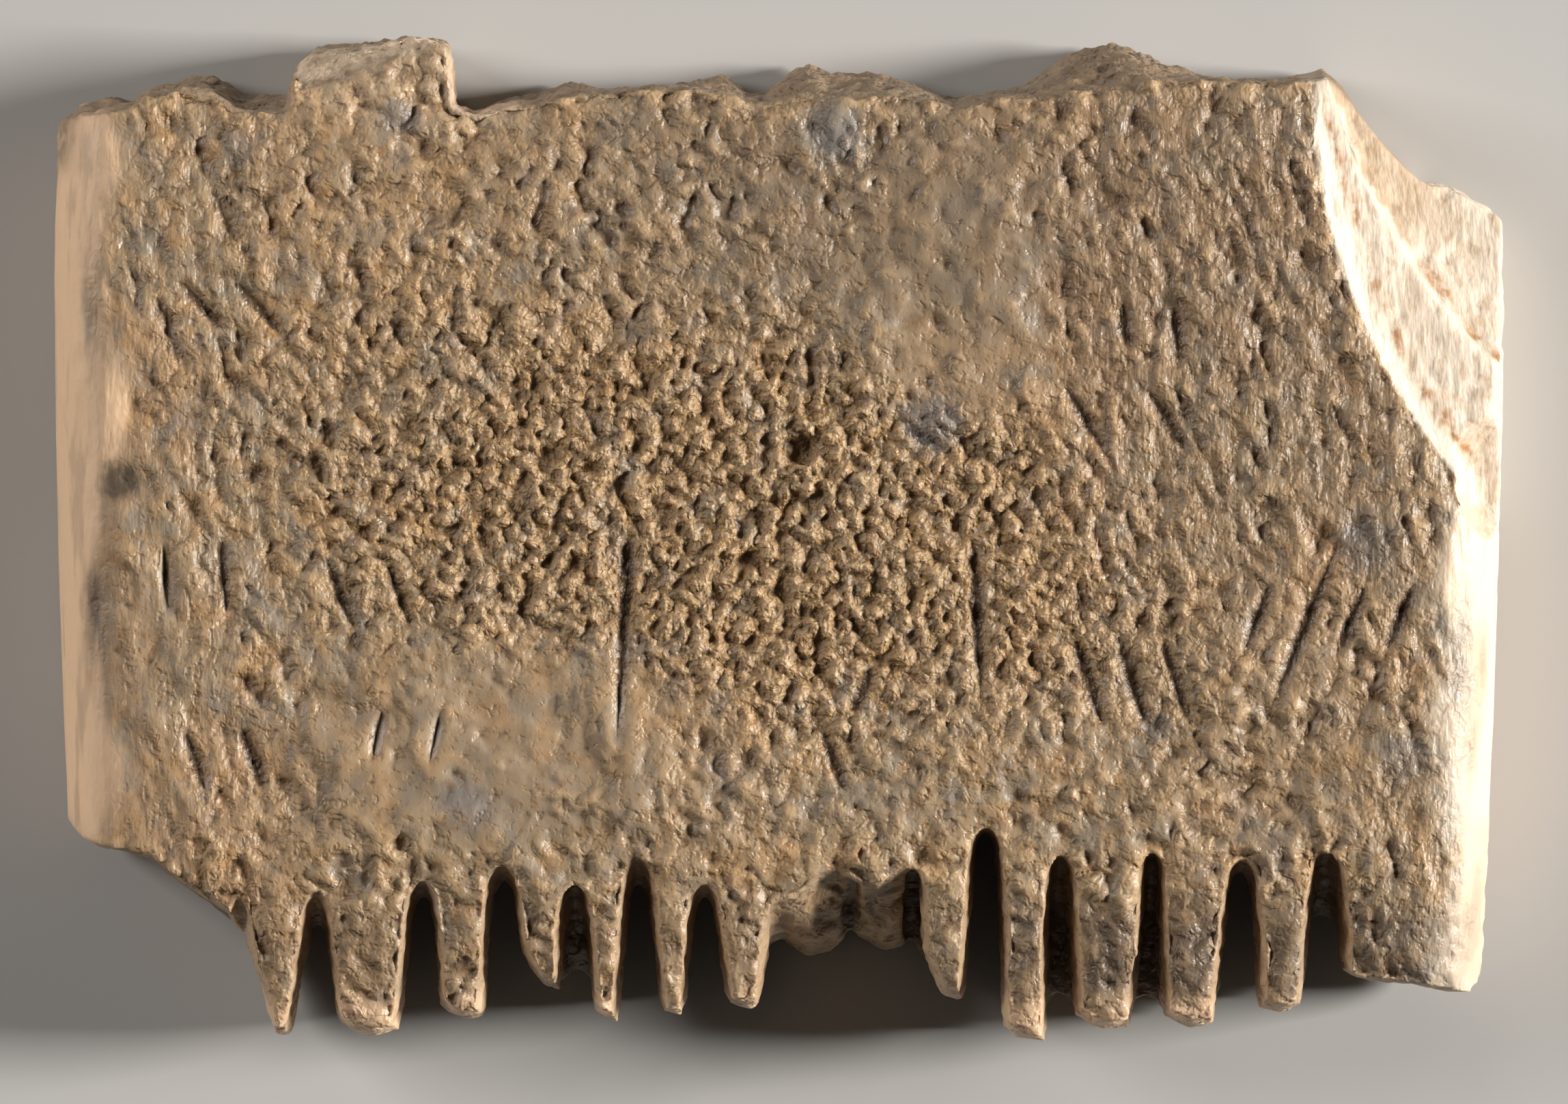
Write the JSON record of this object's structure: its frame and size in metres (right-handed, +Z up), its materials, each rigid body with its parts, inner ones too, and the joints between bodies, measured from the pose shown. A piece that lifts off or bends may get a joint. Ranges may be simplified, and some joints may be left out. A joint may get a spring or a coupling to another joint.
{
  "type": "inscribed comb",
  "caption": "Small two-sided ivory comb, worn and broken, with rounded ends, a row of fine teeth, stumps of coarse teeth, a flaked corner and shallow strokes on its face.",
  "frame": {"origin": "under the middle of the comb's outline, on the plane that its back lies on", "axes": "+X along the comb, +Y from the fine teeth towards the stumps of the coarse teeth, +Z up out of the face with the strokes"},
  "size_m": [0.035, 0.0244, 0.0045],
  "materials": {
    "ivory": "matt aged ivory, tan to grey-brown and pitted, smoother and creamier at the rounded ends"
  },
  "bodies": {
    "root": {"comb": "ivory"}
  },
  "joints": []
}
